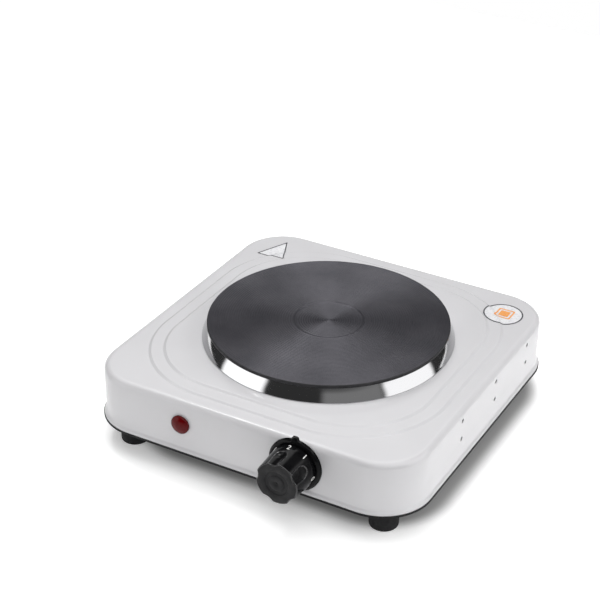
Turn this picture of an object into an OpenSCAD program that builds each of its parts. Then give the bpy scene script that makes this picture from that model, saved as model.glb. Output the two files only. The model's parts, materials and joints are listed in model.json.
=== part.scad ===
// Single-plate electric cooker: a drawn steel housing on four feet, a clamped
// cast-iron plate, a rotary thermostat, a pilot lamp and a gland for the cord.
// Z is up, the front faces -Y and the feet stand on Z = 0.
// Inside the modules Y is counted from the plate's axis; seat() shifts it so
// that the origin is under the middle of the whole object's box.

/* [Housing] */
// Width and depth across the housing's walls
housing_w = 221.8; // [218:0.1:226]
// Corner radius of the walls in plan
corner_r = 30.9; // [28:0.1:33]
// Thickness of the housing's sheet
sheet = 0.8; // [0.6:0.1:0.8]
// Height of the housing's bottom edge
hem_z = 18.8; // [18:0.1:19]
// How far the bottom edge flares outwards
flare = 1.5; // [0.5:0.1:2]
// Radius of the edge between the walls and the top
edge_r = 4; // [3:0.5:5]
// Height of the flat border around the top
border_z = 54; // [53:0.5:55]
// Rise of each of the two steps in the top
step_h = 1; // [0.9:0.1:1.1]

/* [Cast plate] */
// Diameter of the cast-iron plate
plate_d = 155; // [150:1:157]
// Height of the cooking surface above the table
plate_z = 67.1; // [66.6:0.1:68]
// Diameter of the recess in the middle of the plate
recess_d = 45; // [36:1:48]
// Radius of the trim ring at its foot
ring_foot_r = 80.9; // [80:0.1:82]

/* [Controls] */
// Position of the knob's axis in X
knob_x = 39.2; // [36:0.1:43]
// Height of the knob's axis
knob_z = 37.8; // [37:0.1:39]
// Diameter of the fixed bezel behind the knob
bezel_d = 34.6; // [34:0.1:36]
// Diameter of the knob's drum at its back
drum_d = 29.6; // [28:0.1:30]
// Diameter of the knob at its face
face_d = 27.6; // [27:0.1:28]
// Distance of the knob's face from the front wall
knob_reach = 23.1; // [22:0.1:25]
// Diameter of the thermostat's shaft
shaft_d = 6; // [6:0.1:6]
// Distance of the pilot lens from the middle in X
lens_x = 40.7; // [38:0.1:44]
// Height of the pilot lens's axis
lens_z = 38.1; // [37:0.1:39]
// Diameter of the pilot lens
lens_d = 12.2; // [12:0.1:14]

/* [Feet and inlet] */
// Distance of the feet from the middle in X
foot_x = 88.5; // [84:0.5:90]
// Distance of the feet from the plate's axis in Y
foot_y = 92; // [86:0.5:92]
// Diameter of a foot at its top
foot_d = 18.5; // [16:0.5:19]
// Diameter of the gland's bore for the mains cord
cord_bore_d = 7.4; // [6:0.1:8]
// Position of the gland in X
gland_x = 62; // [60:1:64]
// Height of the gland's axis
gland_z = 33.5; // [33:0.5:35]

/* [Hidden] */
$fn = 72;

eps = 0.01;
wall = housing_w / 2;               // outer face of the walls
corner_c = wall - corner_r;         // centre of the wall corners
tier_c = 37;                        // centre of the steps' corners
tier_run = 1.6;                     // width of a step's slope
tier_halves = [100.3, 91];          // half widths at the foot of each step
panel_z = border_z + 2 * step_h;    // middle panel that the plate stands on
panel_under = panel_z - sheet;
plate_hole_r = 75;

gland_out = 8;                      // gland beyond the rear wall
body_y = (knob_reach - gland_out) / 2;

base_t = 1.2;
base_bottom = hem_z - base_t;
base_out = 0.5;                     // base plate beyond the housing's hem
base_half = wall + flare + base_out;
base_r = corner_r + flare + base_out;
post_r = 4;
foot_screw_r = 1.95;

plate_r = plate_d / 2;
lip_h = 2.3;                        // rim of the plate above the trim ring
body_r = 74;                        // plate below its rim
plate_bottom = 54;
trough_r0 = 26;
trough_r1 = 70;
trough_top = plate_z - 4.6;
coil_z = 59;
coil_r = 2.4;
coil_gap = 8;                       // half angle between a coil's two ends
lead_r = 1.2;
lead_bottom = 47;
lead_dir = -60;                     // direction of the plate's terminals
outer_coil_r = 57;
inner_coil_r = 38;

stud_r = 3;
bar_t = 2;
bar_w = 22;
bar_mid_z = 45;
shield_t = 0.7;
washer_t = 1.4;
nut_h = 5;

block_len = 26;                     // plate terminal block, along its direction
block_wid = 22;
block_h = 7.6;
block_mid_r = (outer_coil_r + inner_coil_r) / 2;
cover_t = 0.7;

shaft_r = shaft_d / 2;
bush_gap = 0.05;                    // running clearance of the shaft
inner_wall = wall - sheet;
bezel_t = 2.9;
knob_gap = 0.4;
knob_back = wall + bezel_t + knob_gap;
knob_face = wall + knob_reach;
flutes = 5;
flute_r = 9;
flute_depth = 1.25;                 // at the face
flute_turn = 11;                    // turn of the first flute from straight up
bore_end = knob_face - 6;
flat_d = 2.4;                       // shaft's flat from its axis
bolt_x = 12;                        // thermostat screws beside the shaft
bolt_r = 1.9;
bush_r = 5;
base_gap = 5.3;                     // thermostat base behind the front wall
base_back = inner_wall - 17.3;      // back of the thermostat base
lens_barrel_r = 4.9;
gland_barrel_r = 6;

term_y = 78;                        // mains terminal block
term_size = [36, 16, 13];
pole_pitch = 11;
clamp_y = 94;
earth_at = [84, 44];

signs = [-1, 1];

power_wire_r = 1.3;
lamp_wire_r = 0.8;

// Routes of the wires, from one terminal to the next
live_route = [[51, 69.6, 27], [52, 62, 27], [66, 50, 25], [82, 24, 24], [84, -10, 25],
    [80, -50, 27], [70, -76, 28], [59, -82, 28], [53.2, -86, 27.2], [53.2, -91.3, 27.2]];
switched_route = [[25.2, -91.3, 27.2], [25.2, -86, 27.6], [30, -78, 34], [40, -68, 43],
    [43, -60, 48], [39.5, -55.5, 49.2], [36.2, -49.8, 49.2]];
neutral_route = [[62, 69.6, 27], [63, 60, 29], [74, 40, 31], [77, 0, 33], [72, -34, 39],
    [60, -58, 46], [46, -69, 49.2], [33, -69, 49.2], [28, -61.8, 49.2], [25, -56.4, 49.2]];
earth_route = [[73, 69.6, 27], [74, 62, 26], [80, 56, 23], [84, 51, 21], [84, 48.4, 20.4]];
lamp_live_route = [[18.8, -98, 36.6], [10, -95, 37], [0, -91, 35], [-16, -90, 35],
    [-32, -92, 37], [-39.1, -97, 38.1], [-39.1, -99.6, 38.1]];
lamp_neutral_route = [[66, 69.6, 23], [67, 60, 22], [56, 44, 21], [20, 8, 21],
    [-20, -40, 22], [-40, -76, 29], [-42.3, -92, 37], [-42.3, -99.6, 38.1]];

// ---------- helpers ----------

module seat() {
    translate([0, body_y, 0]) children();
}

// Turns a shape built along +Z so that it points to the front
module frontwards(x, z) {
    translate([x, 0, z]) rotate([90, 0, 0]) children();
}

// Turns a shape built along +Z so that it points to the rear
module rearwards(x, z) {
    translate([x, 0, z]) rotate([-90, 0, 0]) children();
}

module tube(r_out, r_in, h) {
    difference() {
        cylinder(r = r_out, h = h);
        translate([0, 0, -1]) cylinder(r = r_in, h = h + 2);
    }
}

module hex_nut(across, h, hole_r) {
    difference() {
        cylinder(r = across / sqrt(3), h = h, $fn = 6);
        translate([0, 0, -1]) cylinder(r = hole_r, h = h + 2);
    }
}

// Slotted pan head and shank, head on the -Z side of Z = 0
module screw(head_r, head_h, shank_r, length) {
    slot_w = 0.8;
    slot_depth = 0.7;
    difference() {
        translate([0, 0, -head_h]) cylinder(r = head_r, h = head_h);
        translate([-head_r - 1, -slot_w / 2, -head_h - 1]) cube([2 * head_r + 2, slot_w, slot_depth + 1]);
    }
    translate([0, 0, -eps]) cylinder(r = shank_r, h = length + eps);
}

module rounded_square(half, r) {
    square([2 * half, 2 * (half - r)], center = true);
    square([2 * (half - r), 2 * half], center = true);
    for (x = signs, y = signs) translate([x * (half - r), y * (half - r)]) circle(r = r);
}

// Solid with a rounded square plan; profile is (distance from the corner
// centre, height) and starts and ends on the centre line
module swept_block(c, profile) {
    z_low = min([for (p = profile) p[1]]);
    z_high = max([for (p = profile) p[1]]);
    translate([-c, -c, z_low]) cube([2 * c, 2 * c, z_high - z_low]);
    for (i = [0:3]) rotate([0, 0, 90 * i]) {
        rotate([90, 0, 0]) linear_extrude(height = 2 * c, center = true)
            translate([c, 0]) polygon(profile);
        translate([c, c, 0]) rotate_extrude(angle = 90, $fn = 96) polygon(profile);
    }
}

// Outline of the walls; depth 0 is the outside and sheet the inside
function wall_profile(depth, bottom) = concat(
    [[0, bottom], [corner_r + flare - depth, bottom],
     [corner_r + flare - depth, hem_z + 0.8], [corner_r - depth, hem_z + 2.5]],
    [for (i = [0:6]) [corner_r - edge_r + (edge_r - depth) * cos(15 * i),
                      border_z - edge_r + (edge_r - depth) * sin(15 * i)]],
    [[0, border_z - depth]]);

// One raised step of the top
module tier(i, depth, rise) {
    r = tier_halves[i] - tier_c - depth;
    z = border_z + i * step_h - depth + rise;
    swept_block(tier_c, [[0, z - 2], [r, z - 2], [r, z], [r - tier_run, z + step_h], [0, z + step_h]]);
}

module tiers(depth, rise) {
    tier(0, depth, rise);
    tier(1, depth, rise);
}

// Thin film lying on the stepped top inside a plan shape
module film() {
    film_t = 0.2;
    difference() {
        intersection() {
            translate([0, 0, border_z - 1]) linear_extrude(height = 4) children();
            union() {
                translate([-wall, -wall, border_z - 0.5]) cube([2 * wall, 2 * wall, 0.5 + film_t]);
                tiers(0, film_t);
            }
        }
        translate([-wall, -wall, border_z - 2]) cube([2 * wall, 2 * wall, 2]);
        tiers(0, 0);
    }
}

// Sweeps a round wire along a smooth curve through its points
function lerp_catmull(a, b, c, d, t) =
    0.5 * (2 * b + (c - a) * t + (2 * a - 5 * b + 4 * c - d) * t * t + (3 * b - a - 3 * c + d) * t * t * t);
function smooth_path(p, n) = [
    for (i = [0:len(p) - 2]) for (k = [0:n - 1])
        lerp_catmull(p[max(i - 1, 0)], p[i], p[i + 1], p[min(i + 2, len(p) - 1)], k / n),
    p[len(p) - 1]];
function unit(v) = v / norm(v);
function ring_frame(path, i) = let (
    t = unit(path[min(i + 1, len(path) - 1)] - path[max(i - 1, 0)]),
    side = unit(cross(t, [0.13, 0.21, 0.97])))
    [side, cross(side, t)];

module wire(route, r) {
    sides = 8;
    path = smooth_path(route, 3);
    points = [for (i = [0:len(path) - 1]) let (f = ring_frame(path, i))
        for (k = [0:sides - 1]) path[i] + r * (cos(45 * k) * f[0] + sin(45 * k) * f[1])];
    walls = [for (i = [0:len(path) - 2]) for (k = [0:sides - 1])
        [i * sides + k, i * sides + (k + 1) % sides, (i + 1) * sides + (k + 1) % sides, (i + 1) * sides + k]];
    start_cap = [for (k = [sides - 1:-1:0]) k];
    end_cap = [for (k = [0:sides - 1]) (len(path) - 1) * sides + k];
    polyhedron(points = points, faces = concat([start_cap], walls, [end_cap]), convexity = 6);
}

// ---------- casing ----------

module vent_holes() {
    hole_d = 3;
    below_border = [19.7, 6.6];
    for (y = [-35, 15, 65], z = below_border, x = signs)
        translate([x * wall, y, border_z - z]) rotate([0, 90, 0])
            cylinder(d = hole_d, h = 8, center = true);
}

// Hole through the front wall; the cut goes 5 mm to either side of it
module wall_hole(r) {
    translate([0, 0, wall - 5]) cylinder(r = r, h = 10);
}

module housing() {
    color("whitesmoke") seat() difference() {
        union() {
            swept_block(corner_c, wall_profile(0, hem_z));
            tiers(0, 0);
        }
        union() {
            swept_block(corner_c, wall_profile(sheet, hem_z - 1));
            tiers(sheet, 0);
        }
        translate([0, 0, border_z - 10]) cylinder(r = plate_hole_r, h = 20);
        vent_holes();
        frontwards(knob_x, knob_z) wall_hole(bush_r + 0.4);
        for (s = signs) frontwards(knob_x + s * bolt_x, knob_z) wall_hole(bolt_r + 0.3);
        frontwards(-lens_x, lens_z) wall_hole(lens_barrel_r + 0.2);
        rearwards(gland_x, gland_z) wall_hole(gland_barrel_r + 0.2);
    }
}

module base_plate() {
    lip_half = inner_wall - 0.3;
    lip_r = lip_half - corner_c;
    lip_t = 1;
    lip_h = 4;
    slot = [30, 4];
    slot_pitch = 9;
    color("#1b1b1d") seat() difference() {
        union() {
            translate([0, 0, base_bottom]) linear_extrude(height = base_t) rounded_square(base_half, base_r);
            translate([0, 0, hem_z - eps]) linear_extrude(height = lip_h) difference() {
                rounded_square(lip_half, lip_r);
                rounded_square(lip_half - lip_t, lip_r - lip_t);
            }
        }
        for (x = signs, y = signs) translate([x * foot_x, y * foot_y, base_bottom - 1])
            cylinder(r = foot_screw_r + 0.35, h = 4);
        for (x = signs, i = [-3:3])
            translate([x * 34 - slot[0] / 2, i * slot_pitch - slot[1] / 2, base_bottom - 1])
                cube([slot[0], slot[1], 4]);
    }
}

module base_posts() {
    color("silver") seat() for (x = signs, y = signs) translate([x * foot_x, y * foot_y, 0]) difference() {
        translate([0, 0, hem_z]) cylinder(r = post_r, h = border_z - sheet - hem_z);
        translate([0, 0, hem_z - 1]) cylinder(r = foot_screw_r + 0.05, h = 16);
    }
}

module foot(x, y) {
    r = foot_d / 2;
    color("#161616") seat() translate([x * foot_x, y * foot_y, 0]) difference() {
        rotate_extrude() polygon([[0, 0], [r - 1.6, 0], [r - 0.6, 0.5], [r - 0.2, 1.5],
            [r, base_bottom], [0, base_bottom]]);
        translate([0, 0, -1]) cylinder(r = 4.4, h = 6);
        translate([0, 0, -1]) cylinder(r = foot_screw_r + 0.25, h = base_bottom + 2);
    }
}

module foot_screws() {
    color("silver") seat() for (x = signs, y = signs)
        translate([x * foot_x, y * foot_y, 5]) screw(3.7, 2.4, foot_screw_r, 24);
}

// ---------- heating plate ----------

module cast_plate() {
    recess_depth = 0.7;
    chamfer = 0.7;
    rim_z = plate_z - lip_h;
    color("#3a3a40") seat() rotate_extrude($fn = 128) polygon([
        [stud_r, plate_bottom], [trough_r0, plate_bottom], [trough_r0, trough_top],
        [trough_r1, trough_top], [trough_r1, plate_bottom], [body_r, plate_bottom],
        [body_r, rim_z], [plate_r, rim_z], [plate_r, plate_z - chamfer],
        [plate_r - chamfer, plate_z], [recess_d / 2, plate_z],
        [recess_d / 2 - recess_depth, plate_z - recess_depth], [0, plate_z - recess_depth],
        [0, plate_z - 5], [stud_r, plate_z - 5]]);
}

module trim_ring() {
    t = 0.6;
    top = plate_z - lip_h - 0.4;
    neck_r = plate_r - 0.8;
    color("gainsboro") seat() rotate_extrude($fn = 128) polygon([
        [body_r + 0.2, top - t], [neck_r - t, top - t], [ring_foot_r - t, panel_z],
        [ring_foot_r, panel_z], [neck_r, top], [body_r + 0.2, top]]);
}

module coil(r, tube_r, lead) {
    turn = 360 - 2 * coil_gap;
    rotate([0, 0, lead_dir + coil_gap]) {
        translate([0, 0, coil_z]) rotate_extrude(angle = turn, $fn = 96) translate([r, 0]) circle(r = tube_r);
        for (a = [0, turn]) rotate([0, 0, a]) translate([r, 0, lead_bottom])
            cylinder(r = lead, h = coil_z - lead_bottom);
    }
}

module insulation_ring() {
    gap = 0.1;
    color("ivory") seat() difference() {
        translate([0, 0, plate_bottom + 0.2])
            tube(trough_r1 - gap, trough_r0 + gap, trough_top - plate_bottom - 0.3);
        coil(outer_coil_r, coil_r + gap, lead_r + gap);
        coil(inner_coil_r, coil_r + gap, lead_r + gap);
    }
}

module heating_coil_outer() {
    color("darkgray") seat() coil(outer_coil_r, coil_r, lead_r);
}

module heating_coil_inner() {
    color("darkgray") seat() coil(inner_coil_r, coil_r, lead_r);
}

// Holes for the four leads of the coils
module lead_holes(r, z, h) {
    for (ring = [outer_coil_r, inner_coil_r], a = [-coil_gap, coil_gap])
        rotate([0, 0, lead_dir + a]) translate([ring, 0, z]) cylinder(r = r, h = h);
}

module plate_cover() {
    z = plate_bottom - cover_t;
    color("silver") seat() difference() {
        translate([0, 0, z]) cylinder(r = body_r - 1, h = cover_t);
        translate([0, 0, z - 1]) cylinder(r = stud_r + 0.3, h = 4);
        lead_holes(lead_r + 0.6, z - 1, 4);
    }
}

module centre_stud() {
    bottom = bar_mid_z - shield_t - washer_t - nut_h - 4;
    color("silver") seat() translate([0, 0, bottom]) cylinder(r = stud_r - 0.05, h = plate_z - 5.2 - bottom);
}

module clamp_bar() {
    top = panel_under;
    reach = 88;
    knee = 77;
    foot = 70;
    low = bar_mid_z + bar_t;
    right_side = [[foot, low], [knee, top], [reach, top], [reach, top - bar_t],
        [knee + 1, top - bar_t], [foot + 1, bar_mid_z]];
    left_side = [for (i = [len(right_side) - 1:-1:0]) [-right_side[i][0], right_side[i][1]]];
    color("silver") seat() difference() {
        rotate([90, 0, 0]) linear_extrude(height = bar_w, center = true)
            polygon(concat(right_side, left_side));
        translate([0, 0, bar_mid_z - 1]) cylinder(r = stud_r + 0.3, h = 6);
    }
}

module heat_shield() {
    z = bar_mid_z - shield_t;
    opening = [block_len + 6, block_wid + 6];
    color("lightgray") seat() difference() {
        union() {
            translate([0, 0, z]) cylinder(r = 66, h = shield_t);
            translate([0, 0, z - 4]) tube(66, 66 - shield_t, 4 + eps);
        }
        translate([0, 0, z - 1]) cylinder(r = stud_r + 0.3, h = 4);
        rotate([0, 0, lead_dir]) translate([block_mid_r - opening[0] / 2, -opening[1] / 2, z - 6])
            cube([opening[0] + 10, opening[1], 10]);
    }
}

module clamp_washer() {
    color("silver") seat() translate([0, 0, bar_mid_z - shield_t - washer_t]) tube(9, stud_r + 0.2, washer_t);
}

module clamp_nut() {
    color("silver") seat() translate([0, 0, bar_mid_z - shield_t - washer_t - nut_h])
        hex_nut(10, nut_h, stud_r);
}

module plate_terminal_block() {
    z = plate_bottom - cover_t - block_h;
    color("ivory") seat() difference() {
        rotate([0, 0, lead_dir]) translate([block_mid_r - block_len / 2, -block_wid / 2, z])
            cube([block_len, block_wid, block_h]);
        lead_holes(lead_r + 0.15, z - 1, block_h + 2);
        plate_terminal_bores(1.7);
    }
}

module plate_terminal_bores(r) {
    z = plate_bottom - cover_t - block_h;
    for (s = signs) rotate([0, 0, lead_dir]) translate([block_mid_r, s * 6.5, z - 1]) cylinder(r = r, h = 6);
}

module plate_terminal_screws() {
    z = plate_bottom - cover_t - block_h;
    color("gold") seat() for (s = signs) rotate([0, 0, lead_dir])
        translate([block_mid_r, s * 6.5, z]) screw(2.6, 1.6, 1.6, 4.5);
}

// ---------- thermostat and knob ----------

// Puts the thermostat's pieces on the knob's axis
module on_knob_axis() {
    seat() frontwards(knob_x, knob_z) children();
}

module thermostat_bracket() {
    t = 1.2;
    size = [40, 22];
    ear = base_gap - t;
    color("silver") on_knob_axis() difference() {
        union() {
            translate([-size[0] / 2, -size[1] / 2, inner_wall - t]) cube([size[0], size[1], t]);
            for (s = signs)
                translate([s * (size[0] / 2 - t / 2) - t / 2, -size[1] / 2, inner_wall - base_gap])
                cube([t, size[1], ear + eps]);
        }
        translate([0, 0, inner_wall - 10]) cylinder(r = bush_r + 0.1, h = 20);
        for (s = signs) translate([s * bolt_x, 0, inner_wall - 10]) cylinder(r = bolt_r + 0.1, h = 20);
    }
}

module thermostat_bush() {
    back = inner_wall - 2.7;
    color("goldenrod") on_knob_axis() difference() {
        union() {
            translate([0, 0, back]) cylinder(r = 7, h = 1.5);
            translate([0, 0, back]) cylinder(r = bush_r, h = 5.2);
        }
        translate([0, 0, inner_wall - 10]) cylinder(r = shaft_r + bush_gap, h = 20);
    }
}

module thermostat_base() {
    size = [40, 22, 12];
    color("tan") on_knob_axis() difference() {
        translate([-size[0] / 2, -size[1] / 2, base_back]) cube(size);
        translate([0, 0, inner_wall - 30]) cylinder(r = shaft_r + 0.6, h = 30);
        for (s = signs) translate([s * bolt_x, 0, inner_wall - 9]) cylinder(r = bolt_r + 0.4, h = 10);
    }
}

// Two contact springs stacked behind the base
module thermostat_blades() {
    blade = [34, 7, 0.4];
    foot_w = 6;
    color("goldenrod") on_knob_axis() {
        for (i = [0, 1]) translate([-17, -9 + 10 * i, base_back - 1 - 1.6 * i]) {
            cube(blade);
            translate([30, blade[1] / 2, -0.6]) cylinder(r = 1.8, h = 0.6 + eps);
        }
        translate([-17, -9, base_back - 0.6]) cube([foot_w, blade[1], 0.6]);
        translate([-17, 1, base_back - 2.2]) cube([foot_w, blade[1], 2.2]);
    }
}

module bimetal_strip() {
    color("slategray") on_knob_axis() translate([-15, -2.4, base_back - 5.2]) cube([30, 6, 0.8]);
}

module thermostat_terminals() {
    tag = [6, 1, 1.2];
    color("gold") on_knob_axis()
        for (s = signs) translate([s * 14 - tag[0] / 2, -10.4, base_back - tag[2]]) cube(tag);
}

module thermostat_screws() {
    color("silver") on_knob_axis() for (s = signs)
        translate([s * bolt_x, 0, wall]) mirror([0, 0, 1]) screw(3.4, 1.6, bolt_r, 8);
}

module shaft_flat(offset) {
    translate([-10, offset, knob_back + 2]) cube([20, 10, 40]);
}

module control_shaft() {
    back = inner_wall - 14;
    color("silver") on_knob_axis() difference() {
        union() {
            translate([0, 0, back]) cylinder(r = shaft_r, h = bore_end - 0.5 - back);
            translate([0, 0, inner_wall - 4.6]) cylinder(r = 4.6, h = 1.5);
        }
        shaft_flat(flat_d);
    }
}

// Tapered drum whose flutes run out before its back edge
module knob() {
    back_r = drum_d / 2;
    face_r = face_d / 2;
    edge = 0.8;
    flute_end = knob_back + 12.2;
    color("#141416") on_knob_axis() difference() {
        union() {
            translate([0, 0, knob_back]) cylinder(r1 = back_r, r2 = face_r, h = knob_face - edge - knob_back);
            translate([0, 0, knob_face - edge - eps])
                cylinder(r1 = face_r, r2 = face_r - edge, h = edge + eps);
        }
        for (i = [0:flutes - 1]) rotate([0, 0, 90 + flute_turn + i * 360 / flutes])
            translate([face_r - flute_depth + flute_r, 0, flute_end]) {
                sphere(r = flute_r);
                cylinder(r = flute_r, h = 40);
            }
        translate([0, 0, knob_back - 1]) tube(12.2, 5.6, 7);
        translate([0, 0, knob_face - 0.6]) tube(7.8, 5, 2);
        translate([0, 0, knob_face - 0.8]) cylinder(r = 1.8, h = 2);
        difference() {
            translate([0, 0, knob_back - 1]) cylinder(r = shaft_r + 0.02, h = bore_end - knob_back + 1);
            shaft_flat(flat_d + 0.5);
        }
    }
}

module knob_spring() {
    color("silver") on_knob_axis() translate([-0.7, flat_d + 0.03, knob_back + 3]) cube([1.4, 0.4, 10]);
}

module dial_bezel() {
    r = bezel_d / 2;
    bevel_h = 1;
    bevel_w = 1.3;
    tab_r = 19.4;
    tab = [4, 2.4];
    color("#141416") on_knob_axis() difference() {
        union() {
            translate([0, 0, wall]) cylinder(r = r, h = bezel_t - bevel_h);
            translate([0, 0, wall + bezel_t - bevel_h - eps])
                cylinder(r1 = r, r2 = r - bevel_w, h = bevel_h + eps);
            translate([-tab[0] / 2, r - 3, wall]) cube([tab[0], tab_r - r + 3, tab[1]]);
        }
        translate([0, 0, wall - 1]) cylinder(r = 7, h = 10);
        for (s = signs) translate([s * bolt_x, 0, wall - 1]) cylinder(r = 3.7, h = 10);
    }
}

// ---------- pilot lamp ----------

// Puts the lamp's pieces on the lens's axis
module on_lens_axis() {
    seat() frontwards(-lens_x, lens_z) children();
}

module pilot_lens() {
    r = lens_d / 2;
    brim = 1.6;
    dome_h = 1.8;
    dome_r = (r * r + dome_h * dome_h) / (2 * dome_h);
    color("darkred") on_lens_axis() difference() {
        union() {
            translate([0, 0, wall]) cylinder(r = r, h = brim);
            intersection() {
                translate([0, 0, wall + brim + dome_h - dome_r]) sphere(r = dome_r);
                translate([0, 0, wall + brim - eps]) cylinder(r = r, h = dome_h + 1);
            }
            translate([0, 0, wall - 8]) cylinder(r = lens_barrel_r, h = 8 + eps);
        }
        translate([0, 0, wall - 9]) cylinder(r = 4, h = 9);
    }
}

module neon_lamp() {
    r = 3;
    color("orange") on_lens_axis() {
        translate([0, 0, wall - 10.4]) cylinder(r = r, h = 6.4);
        translate([0, 0, wall - 4]) sphere(r = r);
    }
}

module lamp_clip() {
    color("silver") on_lens_axis() translate([0, 0, inner_wall - 1]) tube(8, lens_barrel_r + 0.05, 1);
}

// ---------- mains inlet and earth ----------

module mains_terminal_block() {
    color("ivory") seat() difference() {
        translate([gland_x - term_size[0] / 2, term_y - term_size[1] / 2, hem_z]) cube(term_size);
        for (i = [-1:1]) translate([gland_x + i * pole_pitch, term_y, hem_z + 4]) cylinder(r = 2.6, h = 12);
    }
}

module mains_terminal_screws() {
    color("gold") seat() for (i = [-1:1]) translate([gland_x + i * pole_pitch, term_y, hem_z + 12])
        mirror([0, 0, 1]) screw(2.4, 1.6, 1.5, 7);
}

module cord_gland() {
    bore_r = cord_bore_d / 2;
    inside = 10.9;
    flange_t = 2.4;
    color("#161616") seat() rearwards(gland_x, gland_z) difference() {
        union() {
            translate([0, 0, wall - inside]) cylinder(r = gland_barrel_r, h = inside + eps);
            translate([0, 0, wall]) cylinder(r = 9, h = flange_t);
            translate([0, 0, wall + flange_t - eps]) cylinder(r1 = 7, r2 = 6, h = gland_out - flange_t + eps);
        }
        translate([0, 0, wall - inside - 1]) cylinder(r = bore_r, h = inside + gland_out + 2);
    }
}

module gland_nut() {
    color("#242424") seat() rearwards(gland_x, gland_z) translate([0, 0, inner_wall - 3])
        hex_nut(17, 3, gland_barrel_r + 0.1);
}

module cord_clamp() {
    size = [28, 6, 9.2];
    color("#242424") seat() difference() {
        translate([gland_x - size[0] / 2, clamp_y - size[1] / 2, hem_z]) cube(size);
        translate([gland_x, clamp_y, hem_z + 4.6]) rotate([90, 0, 0])
            cylinder(d = cord_bore_d - 0.4, h = 10, center = true);
        for (s = signs) translate([gland_x + s * 9, clamp_y, hem_z - 1]) cylinder(r = 1.8, h = 12);
    }
}

module cord_clamp_screws() {
    color("silver") seat() for (s = signs) translate([gland_x + s * 9, clamp_y, hem_z + 9.2])
        mirror([0, 0, 1]) screw(3, 1.8, 1.7, 9.1);
}

module earth_stud() {
    color("silver") seat() translate([earth_at[0], earth_at[1], hem_z]) {
        cylinder(r = 4, h = 0.8);
        cylinder(r = 2, h = 9);
    }
}

module earth_tag() {
    color("gold") seat() translate([earth_at[0], earth_at[1], hem_z + 0.8]) tube(4, 2.1, 0.8);
}

module earth_nut() {
    color("silver") seat() translate([earth_at[0], earth_at[1], hem_z + 1.6]) hex_nut(7, 3.2, 2.05);
}

// ---------- wires ----------

module wire_live() {
    color("saddlebrown") seat() wire(live_route, power_wire_r);
}

module wire_switched() {
    color("saddlebrown") seat() wire(switched_route, power_wire_r);
}

module wire_neutral() {
    color("royalblue") seat() wire(neutral_route, power_wire_r);
}

module wire_earth() {
    color("yellowgreen") seat() wire(earth_route, power_wire_r);
}

module wire_lamp_live() {
    color("saddlebrown") seat() wire(lamp_live_route, lamp_wire_r);
}

module wire_lamp_neutral() {
    color("royalblue") seat() wire(lamp_neutral_route, lamp_wire_r);
}

// ---------- labels ----------

module label_round() {
    color("white") seat() film() translate([86, 82.5]) circle(r = 13.3);
}

module label_triangle() {
    color("lightgray") seat() film() polygon([[-97.3, 73.2], [-75.7, 73.2], [-86.7, 98]]);
}

housing();
base_plate();
base_posts();
foot(-1, -1);  // foot_front_left
foot(1, -1);  // foot_front_right
foot(-1, 1);  // foot_rear_left
foot(1, 1);  // foot_rear_right
foot_screws();
cast_plate();
trim_ring();
insulation_ring();
heating_coil_outer();
heating_coil_inner();
plate_cover();
centre_stud();
clamp_bar();
clamp_washer();
clamp_nut();
heat_shield();
plate_terminal_block();
plate_terminal_screws();
thermostat_bracket();
thermostat_bush();
thermostat_base();
thermostat_blades();
bimetal_strip();
thermostat_terminals();
thermostat_screws();
control_shaft();
knob();
knob_spring();
dial_bezel();
pilot_lens();
neon_lamp();
lamp_clip();
mains_terminal_block();
mains_terminal_screws();
cord_gland();
gland_nut();
cord_clamp();
cord_clamp_screws();
earth_stud();
earth_nut();
earth_tag();
wire_live();
wire_switched();
wire_neutral();
wire_earth();
wire_lamp_live();
wire_lamp_neutral();
label_round();
label_triangle();
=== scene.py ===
import json
import math

import bmesh
import bpy
from mathutils import Matrix, Vector


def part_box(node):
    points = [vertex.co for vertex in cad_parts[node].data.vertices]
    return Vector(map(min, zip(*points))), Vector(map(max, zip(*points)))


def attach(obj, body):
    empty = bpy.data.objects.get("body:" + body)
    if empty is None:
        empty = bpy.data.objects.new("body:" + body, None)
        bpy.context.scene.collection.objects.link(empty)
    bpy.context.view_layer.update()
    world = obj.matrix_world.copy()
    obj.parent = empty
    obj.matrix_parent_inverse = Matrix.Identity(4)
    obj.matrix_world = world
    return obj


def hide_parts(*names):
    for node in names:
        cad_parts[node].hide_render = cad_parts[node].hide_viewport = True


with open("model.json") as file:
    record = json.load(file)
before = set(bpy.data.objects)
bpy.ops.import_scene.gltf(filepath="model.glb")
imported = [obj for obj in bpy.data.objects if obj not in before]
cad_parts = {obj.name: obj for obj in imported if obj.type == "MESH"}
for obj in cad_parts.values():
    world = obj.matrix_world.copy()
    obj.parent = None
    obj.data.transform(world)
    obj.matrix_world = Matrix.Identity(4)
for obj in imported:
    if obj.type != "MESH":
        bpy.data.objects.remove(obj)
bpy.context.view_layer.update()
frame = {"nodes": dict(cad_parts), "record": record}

MM = 0.001

# ---------- places and sizes that the frame gives ----------


def middle(node):
    """Centre of a node's box."""
    low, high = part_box(node)
    return (low + high) / 2


HOUSING_LOW, HOUSING_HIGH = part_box("housing")
PLATE_LOW, PLATE_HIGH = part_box("cast_plate")
RING_LOW, RING_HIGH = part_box("trim_ring")
BEZEL_LOW, BEZEL_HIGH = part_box("dial_bezel")
KNOB_LOW, KNOB_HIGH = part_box("knob")
LENS_LOW, LENS_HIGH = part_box("pilot_lens")
GLAND_LOW, GLAND_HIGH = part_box("cord_gland")

PLATE_AXIS = middle("cast_plate").xy
KNOB_AXIS = Vector((middle("knob").x, middle("knob").z))
LENS_AXIS = Vector((middle("pilot_lens").x, middle("pilot_lens").z))
GLAND_AXIS = Vector((middle("cord_gland").x, middle("cord_gland").z))

# ---------- the housing's form, as the CAD part has it ----------

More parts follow.
